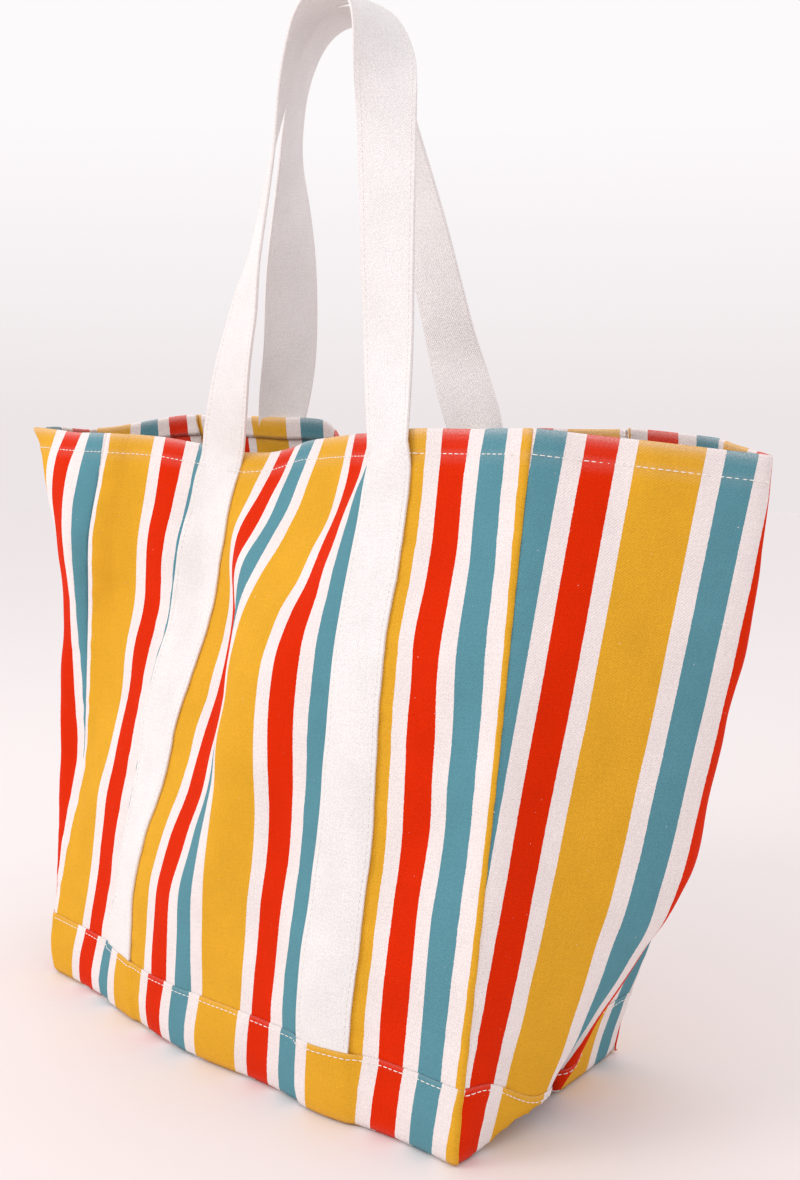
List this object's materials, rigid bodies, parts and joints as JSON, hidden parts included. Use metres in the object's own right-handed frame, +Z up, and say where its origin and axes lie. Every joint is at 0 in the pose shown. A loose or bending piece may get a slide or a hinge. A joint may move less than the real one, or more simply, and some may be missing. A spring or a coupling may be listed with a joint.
{
  "type": "canvas tote bag",
  "caption": "Large open-topped tote bag of striped canvas with side gussets, a lapped base band and white strap handles sewn down the front and back.",
  "frame": {"origin": "middle of the underside of the base", "axes": "+Z up, towards the handles; X across the front from seam to seam; the front faces -Y"},
  "size_m": [0.6944, 0.2198, 0.7076],
  "materials": {
    "striped_canvas": "striped cotton twill in mustard, red, teal and off-white",
    "white_canvas": "plain white cotton canvas strap",
    "thread": "white sewing thread"
  },
  "bodies": {
    "bag": {"base_panel": "striped_canvas", "front_panel": "striped_canvas", "back_panel": "striped_canvas", "left_gusset": "striped_canvas", "right_gusset": "striped_canvas", "front_base_band": "striped_canvas", "back_base_band": "striped_canvas", "left_base_band": "striped_canvas", "right_base_band": "striped_canvas", "front_rim_hem": "striped_canvas", "back_rim_hem": "striped_canvas", "left_rim_hem": "striped_canvas", "right_rim_hem": "striped_canvas", "front_left_corner_seam": "striped_canvas", "front_right_corner_seam": "striped_canvas", "back_left_corner_seam": "striped_canvas", "back_right_corner_seam": "striped_canvas", "front_base_seam": "striped_canvas", "back_base_seam": "striped_canvas", "left_base_seam": "striped_canvas", "right_base_seam": "striped_canvas", "front_strap_left_leg": "white_canvas", "front_strap_right_leg": "white_canvas", "back_strap_left_leg": "white_canvas", "back_strap_right_leg": "white_canvas", "rim_topstitch": "thread", "base_band_topstitch": "thread", "front_strap_topstitch": "thread", "back_strap_topstitch": "thread"},
    "front_handle": {"front_handle_loop": "white_canvas", "front_handle_topstitch": "thread"},
    "back_handle": {"back_handle_loop": "white_canvas", "back_handle_topstitch": "thread"}
  },
  "joints": [
    {"name": "front_handle_fold", "type": "hinge", "parent": "bag", "child": "front_handle", "pos_m": [0, -0.04898, 0.42155], "axis": [1, 0, 0], "range_deg": [0, 165]},
    {"name": "back_handle_fold", "type": "hinge", "parent": "bag", "child": "back_handle", "pos_m": [0, 0.04898, 0.42155], "axis": [-1, 0, 0], "range_deg": [0, 165]}
  ]
}
